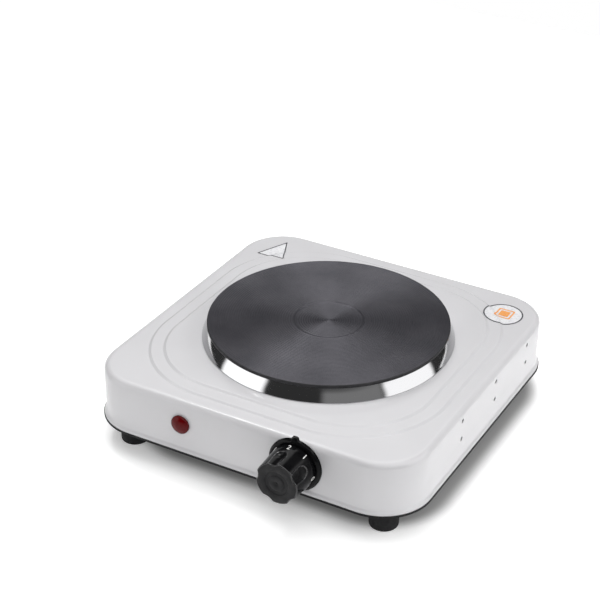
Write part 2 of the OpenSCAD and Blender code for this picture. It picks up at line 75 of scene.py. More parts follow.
FLARE = 1.5 * MM
SHEET = 0.8 * MM
EDGE_R = 4.0 * MM
STEP_H = 1.0 * MM
STEP_RUN = 2.0 * MM
STEP_CORNER = 37.0 * MM          # centre of the steps' corners
STEP_HALVES = (100.4 * MM, 91.1 * MM)
HOLE_R = 75.0 * MM
WALL = HOUSING_HIGH.x - FLARE
CORNER_R = 30.9 * MM
HEM_Z = HOUSING_LOW.z
PANEL_Z = RING_LOW.z
BORDER_Z = PANEL_Z - 2 * STEP_H
FRONT_Y = PLATE_AXIS.y - WALL    # outer face of the front wall
REAR_Y = PLATE_AXIS.y + WALL
VENT_R = 1.5 * MM
VENT_PLACES = (-35 * MM, 15 * MM, 65 * MM)   # along the side walls, from the plate's axis
VENT_ROWS = (19.7 * MM, 6.6 * MM)            # below the border
SHAFT_HOLE_R = 5.4 * MM
LENS_HOLE_R = 5.1 * MM
GLAND_HOLE_R = 6.2 * MM
BOLT_OFFSET = 12 * MM            # thermostat's fixing holes, from the knob's axis
BOLT_HOLE_R = 2.2 * MM

# ---------- mesh helpers ----------


def to_object(name, bm, material, sharp=35):
    """Turns a bmesh into a smooth-shaded object whose edges over sharp degrees stay crisp."""
    bmesh.ops.recalc_face_normals(bm, faces=bm.faces)
    mesh = bpy.data.meshes.new(name)
    bm.to_mesh(mesh)
    bm.free()
    materials = material if isinstance(material, (list, tuple)) else [material]
    for m in materials:
        mesh.materials.append(m)
    mesh.polygons.foreach_set("use_smooth", [True] * len(mesh.polygons))
    mesh.set_sharp_from_angle(angle=math.radians(sharp))
    obj = bpy.data.objects.new(name, mesh)
    bpy.context.scene.collection.objects.link(obj)
    return obj


def loft(bm, loops, close=False, cap_start=False, cap_end=False, slots=None):
    """Skins closed loops of equally many points; slots gives the material of each band."""
    rings = [[bm.verts.new(p) for p in loop] for loop in loops]
    count = len(rings[0])
    bands = list(zip(rings, rings[1:]))
    if close:
        bands.append((rings[-1], rings[0]))
    for band, (low, high) in enumerate(bands):
        for i in range(count):
            j = (i + 1) % count
            face = bm.faces.new((low[i], low[j], high[j], high[i]))
            if slots:
                face.material_index = slots[band]
    if cap_start:
        bm.faces.new(rings[0])
    if cap_end:
        bm.faces.new(rings[-1])
    return rings


def lathe(name, profile, material, steps=128, closed=True, place=None, sharp=35, slots=None):
    """Turns a profile of (radius, height) about Z; a radius of 0 becomes one point."""
    bm = bmesh.new()
    columns = []
    for r, z in profile:
        if r < 1e-7:
            columns.append([bm.verts.new((0, 0, z))])
        else:
            columns.append([bm.verts.new((r * math.cos(2 * math.pi * i / steps),
                                          r * math.sin(2 * math.pi * i / steps), z))
                            for i in range(steps)])
    pairs = list(zip(columns, columns[1:]))
    if closed:
        pairs.append((columns[-1], columns[0]))
    for band, (a, b) in enumerate(pairs):
        for i in range(steps):
            j = (i + 1) % steps
            corners = [a[i % len(a)], a[j % len(a)], b[j % len(b)], b[i % len(b)]]
            unique = list(dict.fromkeys(corners))
            if len(unique) > 2:
                face = bm.faces.new(unique)
                if slots:
                    face.material_index = slots[band]
    if place is not None:
        bm.transform(place)
    return to_object(name, bm, material, sharp)


def arc(cx, cz, r, start, end, steps):
    """Points on an arc in the profile's plane, angles in degrees."""
    return [(cx + r * math.cos(math.radians(start + (end - start) * i / steps)),
             cz + r * math.sin(math.radians(start + (end - start) * i / steps)))
            for i in range(steps + 1)]


def frontwards(axis, y):
    """Places a shape built along +Z so that it points to the front from the plane y."""
    return Matrix.Translation((axis.x, y, axis.y)) @ Matrix.Rotation(math.pi / 2, 4, "X")


def rearwards(axis, y):
    """Places a shape built along +Z so that it points to the rear from the plane y."""
    return Matrix.Translation((axis.x, y, axis.y)) @ Matrix.Rotation(-math.pi / 2, 4, "X")


def square_loop(centre, half, r, corner_steps=8, side_steps=8):
    """Closed plan loop around a square with round corners."""
    c = half - r
    corners = ((1, 1, 0), (-1, 1, 90), (-1, -1, 180), (1, -1, 270))
    points = []
    for k, (sx, sy, start) in enumerate(corners):
        for i in range(corner_steps + 1):
            a = math.radians(start + 90 * i / corner_steps)
            points.append(centre + Vector((sx * c + r * math.cos(a), sy * c + r * math.sin(a))))
        nx, ny, next_start = corners[(k + 1) % 4]
        a = math.radians(next_start)
        goal = centre + Vector((nx * c + r * math.cos(a), ny * c + r * math.sin(a)))
        last = points[-1].copy()
        points += [last.lerp(goal, i / side_steps) for i in range(1, side_steps)]
    return points


def rounded_loop(half, radius, z):
    """Loop of the housing at a height, around the plate's axis."""
    return [p.to_3d() + Vector((0, 0, z)) for p in square_loop(PLATE_AXIS, half, radius, 22, 14)]


def circle_on_square(radius, z):
    """Circle whose points lie in the directions of the upper step's, so that both can be skinned."""
    half = STEP_HALVES[-1] - STEP_RUN
    centre = Vector((PLATE_AXIS.x, PLATE_AXIS.y, z))
    return [centre + (p - centre).normalized() * radius
            for p in rounded_loop(half, half - STEP_CORNER, z)]


def plan_loop(half, radius, z):
    """Loop of the housing, a circle where the half width and the corner's radius are equal."""
    return circle_on_square(radius, z) if half - radius < 1e-6 else rounded_loop(half, radius, z)


def smooth(t):
    """Rise from 0 to 1 that starts and ends level."""
    t = min(max(t, 0.0), 1.0)
    return t * t * (3 - 2 * t)


def slope(t):
    """Rise from 0 to 1 that is straight but for its rounded ends."""
    t = min(max(t, 0.0), 1.0)
    bend = 0.12
    steep = 1 / (1 - bend)
    if t < bend:
        return steep * t * t / (2 * bend)
    if t > 1 - bend:
        return 1 - steep * (1 - t) ** 2 / (2 * bend)
    return steep * (t - bend / 2)


def cut(obj, cutters):
    """Subtracts the cutters from obj and removes them."""
    for cutter in cutters:
        modifier = obj.modifiers.new("cut", "BOOLEAN")
        modifier.object = cutter
        modifier.operation = "DIFFERENCE"
        modifier.solver = "EXACT"
    bpy.context.view_layer.update()
    result = bpy.data.meshes.new_from_object(obj.evaluated_get(bpy.context.evaluated_depsgraph_get()))
    obj.modifiers.clear()
    obj.data = result
    for cutter in cutters:
        bpy.data.objects.remove(cutter)
    obj.data.set_sharp_from_angle(angle=math.radians(35))


def top_height(x, y):
    """Height of the housing's stepped top at a point."""
    c = STEP_CORNER
    u = math.hypot(max(abs(x - PLATE_AXIS.x) - c, 0), max(abs(y - PLATE_AXIS.y) - c, 0))
    return BORDER_Z + sum(STEP_H * slope((half - c - u) / STEP_RUN) for half in STEP_HALVES)


# ---------- material helpers ----------


class Finish:
    """A Principled material whose constants sit on the shader and whose variation is procedural."""

    def __init__(self, name, base, roughness, metallic=0.0, **constants):
        self.material = bpy.data.materials.new(name)
        self.material.use_nodes = True
        self.nodes = self.material.node_tree.nodes
        self.links = self.material.node_tree.links
        self.shader = self.nodes["Principled BSDF"]
        self.shader.inputs["Base Color"].default_value = (*base, 1)
        self.shader.inputs["Roughness"].default_value = roughness
        self.shader.inputs["Metallic"].default_value = metallic
        for key, value in constants.items():
            self.shader.inputs[key.replace("_", " ")].default_value = value
        self.place = self.nodes.new("ShaderNodeTexCoord").outputs["Object"]
        self.normal = None

    def noise(self, scale, detail=4.0, stretch=None):
        """Noise over the object, finer along an axis with a larger stretch."""
        source = self.place
        if stretch is not None:
            mapping = self.nodes.new("ShaderNodeMapping")
            mapping.inputs["Scale"].default_value = stretch
            self.links.new(source, mapping.inputs["Vector"])
            source = mapping.outputs["Vector"]
        texture = self.nodes.new("ShaderNodeTexNoise")
        texture.inputs["Scale"].default_value = scale
        texture.inputs["Detail"].default_value = detail
        self.links.new(source, texture.inputs["Vector"])
        return texture.outputs["Fac"]

    def rings(self, centre, scale, distortion=0.0):
        """Concentric rings about a vertical axis."""
        mapping = self.nodes.new("ShaderNodeMapping")
        mapping.inputs["Location"].default_value = (-centre[0], -centre[1], 0)
        self.links.new(self.place, mapping.inputs["Vector"])
        texture = self.nodes.new("ShaderNodeTexWave")
        texture.wave_type = "RINGS"
        texture.rings_direction = "Z"
        texture.inputs["Scale"].default_value = scale
        texture.inputs["Distortion"].default_value = distortion
        self.links.new(mapping.outputs["Vector"], texture.inputs["Vector"])
        return texture.outputs["Fac"]

    def tint(self, source, low, high, start=0.35, end=0.65):
        """Colours the surface from low to high as source goes from start to end."""
        ramp = self.nodes.new("ShaderNodeValToRGB")
        ramp.color_ramp.elements[0].position = start
        ramp.color_ramp.elements[0].color = (*low, 1)
        ramp.color_ramp.elements[1].position = end
        ramp.color_ramp.elements[1].color = (*high, 1)
        self.links.new(source, ramp.inputs["Fac"])
        self.links.new(ramp.outputs["Color"], self.shader.inputs["Base Color"])
        return self

    def gloss(self, source, low, high):
        """Varies the roughness between low and high."""
        span = self.nodes.new("ShaderNodeMapRange")
        span.inputs["From Min"].default_value = 0.3
        span.inputs["From Max"].default_value = 0.7
        span.inputs["To Min"].default_value = low
        span.inputs["To Max"].default_value = high
        self.links.new(source, span.inputs["Value"])
        self.links.new(span.outputs["Result"], self.shader.inputs["Roughness"])
        return self

    def bump(self, source, distance, strength=1.0):
        """Adds a relief of so many metres on top of the ones before."""
        node = self.nodes.new("ShaderNodeBump")
        node.inputs["Strength"].default_value = strength
        node.inputs["Distance"].default_value = distance
        self.links.new(source, node.inputs["Height"])
        if self.normal is not None:
            self.links.new(self.normal, node.inputs["Normal"])
        self.normal = node.outputs["Normal"]
        self.links.new(self.normal, self.shader.inputs["Normal"])
        return self


def enamel():
    f = Finish("enamel", (0.61, 0.605, 0.62), 0.16, Specular_IOR_Level=0.5)
    f.tint(f.noise(18, 5), (0.60, 0.595, 0.61), (0.62, 0.615, 0.63))
    f.gloss(f.noise(60, 6), 0.16, 0.26)
    f.bump(f.noise(420, 2), 0.00006, 0.5)
    f.bump(f.noise(2600, 3), 0.00001, 0.6)
    return f.material


def black_paint():
    f = Finish("black_paint", (0.008, 0.008, 0.009), 0.5, Specular_IOR_Level=0.15)
    f.tint(f.noise(40, 6), (0.006, 0.006, 0.007), (0.012, 0.012, 0.013))
    f.gloss(f.noise(120, 5), 0.38, 0.55)
    f.bump(f.noise(1800, 4), 0.00004, 0.8)
    return f.material


def cast_iron_top():
    f = Finish("cast_iron_turned", (0.06, 0.059, 0.068), 0.36, metallic=0.55, Anisotropic=0.92,
               Anisotropic_Rotation=0.25)
    f.tint(f.noise(30, 6), (0.052, 0.051, 0.060), (0.075, 0.073, 0.084))
    f.gloss(f.noise(220, 5), 0.32, 0.42)
    f.bump(f.rings(PLATE_AXIS, 900, 0.4), 0.00003, 0.7)
    f.bump(f.noise(3200, 3), 0.00002, 0.5)
    tangent = f.nodes.new("ShaderNodeTangent")
    tangent.direction_type = "RADIAL"
    tangent.axis = "Z"
    f.links.new(tangent.outputs["Tangent"], f.shader.inputs["Tangent"])
    return f.material


def cast_iron_side():
    f = Finish("cast_iron_rough", (0.02, 0.02, 0.023), 0.6, metallic=0.3)
    f.tint(f.noise(90, 6), (0.014, 0.014, 0.016), (0.032, 0.031, 0.034))
    f.gloss(f.noise(400, 5), 0.5, 0.72)
    f.bump(f.noise(900, 6), 0.00012, 0.8)
    return f.material


def polished_steel():
    f = Finish("polished_steel", (0.6, 0.6, 0.61), 0.07, metallic=1.0)
    f.gloss(f.noise(260, 4, (1, 1, 12)), 0.05, 0.1)
    f.bump(f.noise(700, 3, (0.25, 0.25, 6)), 0.000003, 0.5)
    return f.material


def knob_gloss():
    f = Finish("phenolic_gloss", (0.004, 0.004, 0.0045), 0.12, Specular_IOR_Level=0.1)
    f.tint(f.noise(120, 5), (0.003, 0.003, 0.0035), (0.006, 0.006, 0.0065))
    f.gloss(f.noise(350, 5), 0.08, 0.2)
    f.bump(f.noise(900, 3), 0.00003, 0.5)
    return f.material


def knob_edge():
    f = Finish("phenolic_polished", (0.008, 0.008, 0.009), 0.1, Specular_IOR_Level=0.6)
    f.tint(f.noise(120, 5), (0.006, 0.006, 0.007), (0.012, 0.012, 0.013))
    f.gloss(f.noise(350, 5), 0.06, 0.16)
    f.bump(f.noise(900, 3), 0.00003, 0.5)
    return f.material


def knob_matt():
    f = Finish("phenolic_matt", (0.022, 0.022, 0.023), 0.5, Specular_IOR_Level=0.12)
    f.tint(f.noise(200, 6), (0.019, 0.019, 0.020), (0.027, 0.027, 0.028))
    f.gloss(f.noise(500, 5), 0.46, 0.64)
    f.bump(f.noise(2600, 5), 0.00004, 0.8)
    return f.material


def dial_print():
    f = Finish("dial_print", (0.78, 0.78, 0.76), 0.5)
    f.tint(f.noise(900, 4), (0.66, 0.66, 0.64), (0.86, 0.86, 0.84))
    f.gloss(f.noise(700, 3), 0.42, 0.6)
    return f.material


def red_lens():
    f = Finish("red_lens", (0.12, 0.002, 0.003), 0.06, Transmission_Weight=0.2, IOR=1.49,
               Specular_IOR_Level=0.06)
    f.gloss(f.noise(300, 3), 0.05, 0.13)
    f.bump(f.noise(500, 2), 0.00003, 0.4)
    return f.material


def bulb_glass():
    f = Finish("bulb_glass", (0.95, 0.75, 0.6), 0.04, Transmission_Weight=0.9, IOR=1.45)
    f.gloss(f.noise(600, 2), 0.03, 0.08)
    return f.material


def rubber():
    f = Finish("foot_rubber", (0.009, 0.009, 0.010), 0.7, Specular_IOR_Level=0.2)
    f.tint(f.noise(150, 6), (0.007, 0.007, 0.008), (0.014, 0.014, 0.015))
    f.gloss(f.noise(500, 5), 0.6, 0.82)
    f.bump(f.noise(1800, 5), 0.00006, 0.8)
    return f.material


def black_nylon():
    f = Finish("black_nylon", (0.015, 0.015, 0.016), 0.5)
    f.tint(f.noise(180, 5), (0.012, 0.012, 0.013), (0.024, 0.024, 0.025))
    f.gloss(f.noise(600, 5), 0.42, 0.62)
    f.bump(f.noise(2400, 4), 0.00004, 0.8)
    return f.material


def zinc_steel():
    f = Finish("zinc_steel", (0.62, 0.63, 0.66), 0.32, metallic=1.0)
    f.tint(f.noise(260, 6), (0.55, 0.56, 0.6), (0.7, 0.7, 0.7))
    f.gloss(f.noise(500, 5), 0.24, 0.45)
    f.bump(f.noise(1500, 4), 0.00002, 0.6)
    return f.material


def aluminised_steel():
    f = Finish("aluminised_steel", (0.66, 0.66, 0.65), 0.4, metallic=1.0)
    f.tint(f.noise(120, 7), (0.58, 0.58, 0.58), (0.72, 0.72, 0.7))
    f.gloss(f.noise(300, 5), 0.3, 0.5)
    f.bump(f.noise(800, 5), 0.00002, 0.6)
    return f.material


def steatite():
    f = Finish("steatite", (0.72, 0.68, 0.6), 0.62)
    f.tint(f.noise(300, 6), (0.64, 0.6, 0.52), (0.78, 0.75, 0.68))
    f.gloss(f.noise(500, 4), 0.52, 0.74)
    f.bump(f.noise(2000, 5), 0.00005, 0.8)
    return f.material


def oxidised_wire():
    f = Finish("oxidised_wire", (0.3, 0.28, 0.27), 0.5, metallic=0.9)
    f.tint(f.noise(300, 6), (0.2, 0.18, 0.18), (0.38, 0.36, 0.34))
    f.gloss(f.noise(700, 5), 0.4, 0.62)
    f.bump(f.noise(1600, 4), 0.00004, 0.7)
    return f.material


def brass():
    f = Finish("brass", (0.76, 0.56, 0.25), 0.28, metallic=1.0)
    f.tint(f.noise(280, 6), (0.66, 0.46, 0.18), (0.82, 0.64, 0.32))
    f.gloss(f.noise(500, 5), 0.2, 0.4)
    f.bump(f.noise(1500, 4), 0.00002, 0.6)
    return f.material


def sleeve(name, low, high):
    mid = [(a + b) / 2 for a, b in zip(low, high)]
    f = Finish(name, mid, 0.5)
    f.tint(f.noise(400, 5), low, high)
    f.gloss(f.noise(700, 4), 0.42, 0.6)
    f.bump(f.noise(1800, 4), 0.00004, 0.7)
    return f.material


def label_film():
    f = Finish("label_film", (0.74, 0.74, 0.76), 0.28, Coat_Weight=0.3, Coat_Roughness=0.15)
    f.tint(f.noise(220, 5), (0.71, 0.71, 0.735), (0.78, 0.78, 0.79))
    f.gloss(f.noise(500, 4), 0.22, 0.36)
    f.bump(f.noise(1200, 3), 0.00001, 0.6)
    return f.material


def label_ink(name, low, high):
    mid = [(a + b) / 2 for a, b in zip(low, high)]
    f = Finish(name, mid, 0.4)
    f.tint(f.noise(900, 5), low, high)
    f.gloss(f.noise(700, 4), 0.34, 0.5)
    return f.material


ENAMEL = enamel()
BLACK_PAINT = black_paint()
IRON_TOP = cast_iron_top()
IRON_SIDE = cast_iron_side()
POLISHED = polished_steel()
KNOB_GLOSS = knob_gloss()
KNOB_EDGE = knob_edge()
KNOB_MATT = knob_matt()
DIAL_PRINT = dial_print()
RED_LENS = red_lens()
BULB_GLASS = bulb_glass()
RUBBER = rubber()
NYLON = black_nylon()
ZINC = zinc_steel()
ALUMINISED = aluminised_steel()
STEATITE = steatite()
COIL_WIRE = oxidised_wire()
BRASS = brass()
SLEEVE_BROWN = sleeve("sleeve_brown", (0.16, 0.07, 0.03), (0.24, 0.11, 0.05))
SLEEVE_BLUE = sleeve("sleeve_blue", (0.03, 0.12, 0.4), (0.06, 0.18, 0.55))
SLEEVE_GREEN = sleeve("sleeve_green", (0.14, 0.4, 0.06), (0.4, 0.55, 0.06))
FILM = label_film()
INK_BLACK = label_ink("ink_black", (0.02, 0.02, 0.025), (0.05, 0.05, 0.06))
INK_ORANGE = label_ink("ink_orange", (0.75, 0.28, 0.06), (0.85, 0.38, 0.10))

SLOT_MATERIALS = {
    "enamel": ENAMEL, "black_steel": BLACK_PAINT, "zinc_steel": ZINC, "rubber": RUBBER,
    "cast_iron": IRON_SIDE, "stainless": POLISHED, "aluminised": ALUMINISED,
    "ceramic": STEATITE, "coil_wire": COIL_WIRE, "brass": BRASS, "black_gloss": KNOB_GLOSS,
    "black_plastic": NYLON, "red_lens": RED_LENS, "lamp_glass": BULB_GLASS,
    "wire_brown": SLEEVE_BROWN, "wire_blue": SLEEVE_BLUE, "wire_green": SLEEVE_GREEN,
    "label": FILM,
}


def finish_cad_nodes():
    """Gives every CAD node the material of its slot in the record."""
    for entry in frame["record"]["subparts"]:
        mesh = frame["nodes"][entry["node"]].data
        mesh.materials.clear()
        mesh.materials.append(SLOT_MATERIALS[entry["material_slot"]])


# ---------- housing ----------


def housing_loops():
    """Loops of (half width, corner radius, height) outside and inside; equal numbers make a circle."""
    hem, flare_rise = 0.8 * MM, 2.2 * MM
    side = [(WALL + FLARE, CORNER_R + FLARE, HEM_Z)]
    for t in (0.0, 0.25, 0.5, 0.75, 1.0):
        flare = FLARE * (1 - smooth(t))
        side.append((WALL + flare, CORNER_R + flare, HEM_Z + hem + flare_rise * t))
    top_of_wall = BORDER_Z - EDGE_R
    side += [(WALL, CORNER_R, HEM_Z + (top_of_wall - HEM_Z) * t) for t in (0.4, 0.7)]
    for i in range(11):
        a = math.radians(9 * i)
        pull = EDGE_R * (1 - math.cos(a))
        side.append((WALL - pull, CORNER_R - pull, top_of_wall + EDGE_R * math.sin(a)))
    z = BORDER_Z
    flat_by = 0.4 * MM
    side.append((WALL - EDGE_R - flat_by, CORNER_R - EDGE_R - flat_by, z))
    for half in STEP_HALVES:
        r = half - STEP_CORNER
        side.append((half + flat_by, r + flat_by, z))
        for t in (0, 0.04, 0.08, 0.12, 0.3, 0.5, 0.7, 0.88, 0.92, 0.96, 1):
            side.append((half - STEP_RUN * t, r - STEP_RUN * t, z + STEP_H * slope(t)))
        z += STEP_H
        side.append((half - STEP_RUN - flat_by, r - STEP_RUN - flat_by, z))
    outer_r = RING_HIGH.x + 2 * MM
    side.append((outer_r, outer_r, z))
    lip_r = 1.6 * MM
    for i in range(6):
        a = math.radians(18 * i)
        r = HOLE_R + lip_r - lip_r * math.sin(a)
        side.append((r, r, z - lip_r + lip_r * math.cos(a)))
    inside = []
    for k, (half, r, z) in enumerate(side):
        before = side[max(k - 1, 0)]
        after = side[min(k + 1, len(side) - 1)]
        run, rise = after[0] - before[0], after[2] - before[2]
        length = math.hypot(run, rise) or 1
        inward = SHEET / length
        inside.append((half - rise * inward, r - rise * inward, z + run * inward))
    return side, inside


def housing():
    outside, inside = housing_loops()
    bm = bmesh.new()
    loft(bm, [plan_loop(*p) for p in outside + inside[::-1]], close=True)
    obj = to_object("housing_shell", bm, ENAMEL)
    cutters = []
    for side in (-1, 1):
        for y in VENT_PLACES:
            for below in VENT_ROWS:
                place = (Matrix.Translation((side * WALL, PLATE_AXIS.y + y, BORDER_Z - below))
                         @ Matrix.Rotation(math.pi / 2, 4, "Y"))
                cutters.append(round_cutter(VENT_R, place))
    cutters.append(round_cutter(SHAFT_HOLE_R, frontwards(KNOB_AXIS, FRONT_Y)))
    cutters.append(round_cutter(LENS_HOLE_R, frontwards(LENS_AXIS, FRONT_Y)))
    cutters.append(round_cutter(GLAND_HOLE_R, rearwards(GLAND_AXIS, REAR_Y)))
    for side in (-1, 1):
        bolt = KNOB_AXIS + Vector((side * BOLT_OFFSET, 0))
        cutters.append(round_cutter(BOLT_HOLE_R, frontwards(bolt, FRONT_Y)))
    cut(obj, cutters)
    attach(obj, "body")
    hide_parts("housing")


def round_cutter(radius, place):
    """Drill that goes through a wall."""
    depth = 12 * MM
    return lathe("cutter", [(0, -depth / 2), (radius, -depth / 2), (radius, depth / 2), (0, depth / 2)],
                 ENAMEL, steps=40, closed=False, place=place)


# ---------- plate and ring ----------


def cast_plate():
    pitch, ridge = 1.5 * MM, 0.11 * MM
    rim_r = PLATE_HIGH.x
    top = PLATE_HIGH.z
    recess_r, recess_depth = 22.5 * MM, 0.7 * MM
    chamfer = 0.7 * MM
    body_r, rim_z = 74 * MM, top - 2.3 * MM
    boss_r, trough_r = 26 * MM, 70 * MM
    trough_top = top - 4.6 * MM

    def grooved(start, end, z):
        count = round((end - start) / pitch)
        step = (end - start) / count
        points = []
        for i in range(count * 6):
            points.append((start + step * i / 6, z - ridge * (0.5 - 0.5 * math.cos(math.pi * i / 3))))
        points.append((end, z))
        return points

    floor_z = top - recess_depth
    outline = [(0, floor_z)]
    outline += grooved(1.5 * MM, recess_r - 1.4 * MM, floor_z)
    outline += [(recess_r - 0.5 * MM, floor_z + 0.08 * MM), (recess_r - 0.15 * MM, floor_z + 0.4 * MM),
                (recess_r, top - 0.08 * MM), (recess_r + 0.25 * MM, top)]
    outline += grooved(recess_r + 1.0 * MM, rim_r - 1.6 * MM, top)
    outline += arc(rim_r - chamfer, top - chamfer, chamfer, 90, 0, 5)
    side_from = len(outline)
    outline += [(rim_r, rim_z + 0.3 * MM), (rim_r - 0.3 * MM, rim_z), (body_r, rim_z),
                (body_r, PLATE_LOW.z), (trough_r, PLATE_LOW.z), (trough_r, trough_top),
                (boss_r, trough_top), (boss_r, PLATE_LOW.z), (0, PLATE_LOW.z)]
    slots = [0 if k < side_from - 5 else 1 for k in range(len(outline) - 1)]
    place = Matrix.Translation((PLATE_AXIS.x, PLATE_AXIS.y, 0))
    obj = lathe("cooking_plate", outline, [IRON_TOP, IRON_SIDE], steps=256, closed=False,
                place=place, sharp=50, slots=slots)
    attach(obj, "body")
    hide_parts("cast_plate")


def trim_ring():
    foot_r, foot_z = RING_HIGH.x, RING_LOW.z
    neck_r, neck_z = PLATE_HIGH.x - 0.8 * MM, RING_HIGH.z
    inner_r = 74.2 * MM
    t = 0.6 * MM
    outside = [(foot_r - 0.1 * MM, foot_z), (foot_r, foot_z + 0.25 * MM),
               (foot_r - 0.08 * MM, foot_z + 0.6 * MM)]
    start = (foot_r - 0.35 * MM, foot_z + 1.1 * MM)
    end = (neck_r, neck_z)
    swell = 0.12 * MM
    for i in range(13):
        s = i / 12
        bulge = swell * math.sin(math.pi * s)
        outside.append((start[0] + (end[0] - start[0]) * s + bulge,
                        start[1] + (end[1] - start[1]) * s + bulge * 0.5))
    outside += [(neck_r - 0.3 * MM, neck_z), (inner_r, neck_z)]
    inside = [(inner_r, neck_z - t), (neck_r - t, neck_z - t), (foot_r - 1.2 * MM, foot_z + 1.0 * MM),
              (foot_r - t, foot_z)]
    obj = lathe("plate_trim", outside + inside, POLISHED, steps=256,
                place=Matrix.Translation((PLATE_AXIS.x, PLATE_AXIS.y, 0)), sharp=40)
    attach(obj, "body")
    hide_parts("trim_ring")


# ---------- knob, bezel and lens ----------

DRUM_R = (KNOB_HIGH.x - KNOB_LOW.x) / 2
FACE_R = 13.8 * MM
KNOB_BACK = KNOB_HIGH.y
KNOB_LENGTH = KNOB_HIGH.y - KNOB_LOW.y
FLUTES = 5
FLUTE_R, FLUTE_DEPTH = 9.0 * MM, 1.25 * MM
FLUTE_TURN = 11                  # degrees anticlockwise from straight up
FLUTE_END = 12.2 * MM            # where the flutes start to run out, from the knob's back


def drum_radius(angle, z):
    """Radius of the fluted drum at a height above its back, and whether a flute's rounded edge lies there."""
    plain = DRUM_R + (FACE_R - DRUM_R) * z / KNOB_LENGTH
    pitch = 2 * math.pi / FLUTES
    off = (angle - math.radians(90 + FLUTE_TURN) + pitch / 2) % pitch - pitch / 2
    cutter = FLUTE_R ** 2 - max(FLUTE_END - z, 0) ** 2
    axis_r = FACE_R - FLUTE_DEPTH + FLUTE_R
    inside = cutter - (axis_r * math.sin(off)) ** 2
    if inside <= 0:
        return plain, False
    flute = axis_r * math.cos(off) - math.sqrt(inside)
    blend = 0.3 * MM
    h = max(blend - abs(plain - flute), 0) / blend
    return min(plain, flute) - h * h * blend / 4, h > 0


def knob():
    """Hollow fluted drum; its material slots are the drum, the face and the polished edges."""
    steps = 360
    loops, slots = [], []

    def add(z, slot=0, radius=None, shrink=0.0, toward=0.0):
        """Adds a loop of the drum, shrunk by a length and blended towards a circle."""
        loop = []
        for i in range(steps):
            a = 2 * math.pi * i / steps
            r = radius
            if radius is None or toward:
                r = drum_radius(a, z)[0] - shrink
                if toward:
                    r += (radius - r) * toward
            loop.append((r * math.cos(a), r * math.sin(a), z))
        loops.append(loop)
        slots.append(slot)

    length, cavity, bore_depth = KNOB_LENGTH, 6 * MM, 14 * MM
    bore_r, hub_r, cavity_r = 3.1 * MM, 5.6 * MM, 12.2 * MM
    add(bore_depth, radius=bore_r)
    add(0, radius=bore_r)
    add(0, radius=hub_r)
    add(cavity, radius=hub_r)
    add(cavity, radius=cavity_r)
    add(0, radius=cavity_r)
    add(0, shrink=0.3 * MM)
    add(0.1 * MM, shrink=0.08 * MM)
    add(0.3 * MM)
    edge = 0.7 * MM
    start, end = 4.5 * MM, length - edge
    for i in range(29):
        add(start + (end - start) * i / 28)
    for i in range(1, 7):
        a = math.radians(15 * i)
        add(length - edge + edge * math.sin(a), 2, shrink=edge * (1 - math.cos(a)))
    outer_r, inner_r, recess = 8.2 * MM, 4.8 * MM, 0.6 * MM
    add(length, 1, radius=outer_r, shrink=edge, toward=0.5)
    add(length, 1, radius=outer_r)
    add(length - 0.15 * MM, 1, radius=outer_r - 0.2 * MM)
    add(length - recess, 1, radius=outer_r - 0.55 * MM)
    add(length - recess, 1, radius=inner_r + 0.5 * MM)
    add(length - 0.15 * MM, 1, radius=inner_r + 0.15 * MM)
    add(length, 1, radius=inner_r - 0.1 * MM)
    add(length, 1, radius=1.9 * MM)
    add(length - 0.25 * MM, 1, radius=1.6 * MM)
    add(length - 0.7 * MM, 1, radius=0.9 * MM)
    add(length - 0.8 * MM, 1, radius=0.2 * MM)
    bm = bmesh.new()
    loft(bm, loops, cap_start=True, cap_end=True, slots=slots[1:] + [1])
    for face in bm.faces:
        middle_of_face = face.calc_center_median()
        on_drum = middle_of_face.xy.length > cavity_r + 0.2 * MM and face.material_index == 0
        if on_drum and drum_radius(math.atan2(middle_of_face.y, middle_of_face.x), middle_of_face.z)[1]:
            face.material_index = 2
    bm.transform(frontwards(KNOB_AXIS, KNOB_BACK))
    obj = to_object("dial_knob", bm, [KNOB_GLOSS, KNOB_MATT, KNOB_EDGE], sharp=42)
    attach(obj, "control")
    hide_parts("knob")


def dial_numbers():
    """Numbers printed around the drum behind its flutes; their tops point to the wall."""
    size, narrow = 5.3 * MM, 0.8
    centre_z = 2.8 * MM
    angles = {"0": 97.7, "1": 38.1, "2": -4.8, "3": -48, "4": -91, "5": -134}
    bm = bmesh.new()
    for digit, clockwise in angles.items():
        curve = bpy.data.curves.new("digit", "FONT")
        curve.body = digit
        curve.size = size
        curve.align_x = "CENTER"
        curve.align_y = "CENTER"
        curve.extrude = 0.02 * MM
        curve.offset = 0.06 * MM
        text = bpy.data.objects.new("digit", curve)
        bpy.context.scene.collection.objects.link(text)
        bpy.context.view_layer.update()
        flat = bpy.data.meshes.new_from_object(text.evaluated_get(bpy.context.evaluated_depsgraph_get()))
        bpy.data.objects.remove(text)
        start = len(bm.verts)
        bm.from_mesh(flat)
        bm.verts.ensure_lookup_table()
        for v in bm.verts[start:]:
            z = centre_z - v.co.y
            r = DRUM_R + (FACE_R - DRUM_R) * z / KNOB_LENGTH + 0.04 * MM + v.co.z
            a = math.radians(clockwise) + v.co.x * narrow / DRUM_R
            v.co = (r * math.sin(a), r * math.cos(a), z)
    bm.transform(frontwards(KNOB_AXIS, KNOB_BACK))
    obj = to_object("dial_numbers", bm, DIAL_PRINT)
    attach(obj, "control")


